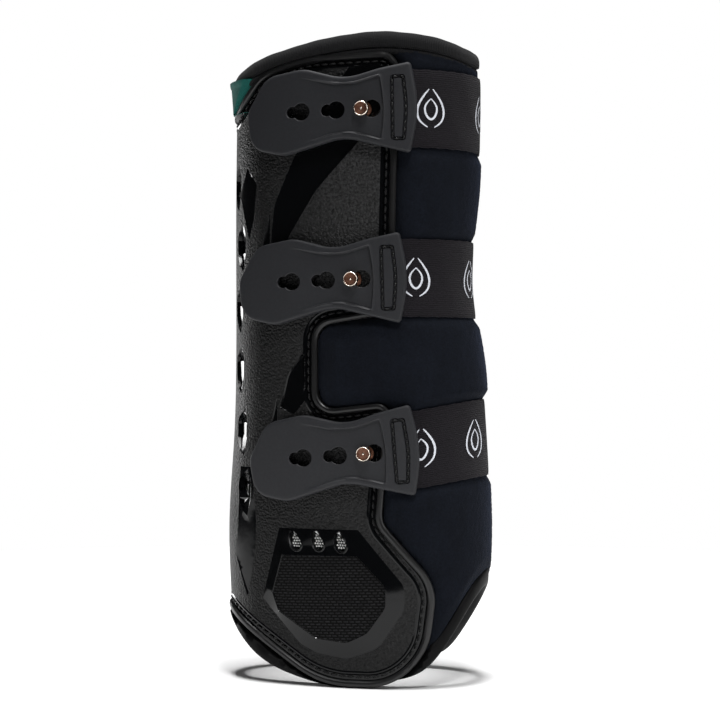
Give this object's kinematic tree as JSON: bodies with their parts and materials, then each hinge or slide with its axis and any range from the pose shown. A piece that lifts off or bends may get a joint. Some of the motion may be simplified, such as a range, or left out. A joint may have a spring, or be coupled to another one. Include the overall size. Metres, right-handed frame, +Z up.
{
  "type": "horse tendon boot",
  "caption": "Protective tendon boot for a horse's front leg: moulded shell on a soft neoprene sleeve, closed by elastic straps with keyhole tabs on studs.",
  "frame": {"origin": "on the axis of the leg channel, level with the boot's lowest edge", "axes": "+Z up the leg, +X towards the front of the leg, -X the tendon, -Y the outer (lateral) side with the studs, +Y the inner (medial) side"},
  "size_m": [0.1252, 0.0909, 0.3001],
  "materials": {
    "shell": "satin",
    "woven_panel": "satin",
    "thread": "satin",
    "mesh": "satin",
    "foam": "matte",
    "neoprene": "matte",
    "lining": "matte",
    "collar": "matte",
    "binding": "satin",
    "elastic": "matte",
    "tab_rubber": "matte",
    "stud_metal": "polished",
    "copper": "satin",
    "ribbon": "satin",
    "print_white": "matte"
  },
  "bodies": {
    "boot": {"shell": "shell", "shell_stitching": "thread", "strike_pad_lateral": "woven_panel", "strike_pad_medial": "woven_panel", "shield_mesh_lateral": "mesh", "shield_mesh_medial": "mesh", "tendon_mesh_lateral": "mesh", "tendon_mesh_medial": "mesh", "tendon_pad": "foam", "neoprene_body": "neoprene", "inner_lining": "lining", "top_roll": "collar", "bottom_binding": "binding", "label_ribbon": "ribbon", "stud_top": "stud_metal", "stud_flange_top": "copper", "stud_backplate_top": "stud_metal", "elastic_front_top": "elastic", "strap_anchor_top": "tab_rubber", "stud_middle": "stud_metal", "stud_flange_middle": "copper", "stud_backplate_middle": "stud_metal", "elastic_front_middle": "elastic", "strap_anchor_middle": "tab_rubber", "stud_bottom": "stud_metal", "stud_flange_bottom": "copper", "stud_backplate_bottom": "stud_metal", "elastic_front_bottom": "elastic", "strap_anchor_bottom": "tab_rubber"},
    "strap_top": {"elastic_side_top": "elastic"},
    "tab_top": {"tab_top": "tab_rubber", "tab_stitching_top": "thread"},
    "strap_middle": {"elastic_side_middle": "elastic"},
    "tab_middle": {"tab_middle": "tab_rubber", "tab_stitching_middle": "thread"},
    "strap_bottom": {"elastic_side_bottom": "elastic"},
    "tab_bottom": {"tab_bottom": "tab_rubber", "tab_stitching_bottom": "thread"}
  },
  "joints": [
    {"name": "strap_top_open", "type": "hinge", "parent": "boot", "child": "strap_top", "pos_m": [0.04669, -0.03012, 0], "axis": [0, 0, 1], "range_deg": [0, 120]},
    {"name": "tab_top_pull", "type": "hinge", "parent": "strap_top", "child": "tab_top", "pos_m": [0.012, 0.115, 0], "axis": [0, 0, -1], "range_deg": [0, 1.74]},
    {"name": "strap_middle_open", "type": "hinge", "parent": "boot", "child": "strap_middle", "pos_m": [0.04389, -0.03097, 0], "axis": [0, 0, 1], "range_deg": [0, 120]},
    {"name": "tab_middle_pull", "type": "hinge", "parent": "strap_middle", "child": "tab_middle", "pos_m": [0.012, 0.115, 0], "axis": [0, 0, -1], "range_deg": [0, 1.74]},
    {"name": "strap_bottom_open", "type": "hinge", "parent": "boot", "child": "strap_bottom", "pos_m": [0.05045, -0.03048, 0], "axis": [0, 0, 1], "range_deg": [0, 120]},
    {"name": "tab_bottom_pull", "type": "hinge", "parent": "strap_bottom", "child": "tab_bottom", "pos_m": [0.012, 0.115, 0], "axis": [0, 0, -1], "range_deg": [0, 1.74]}
  ]
}
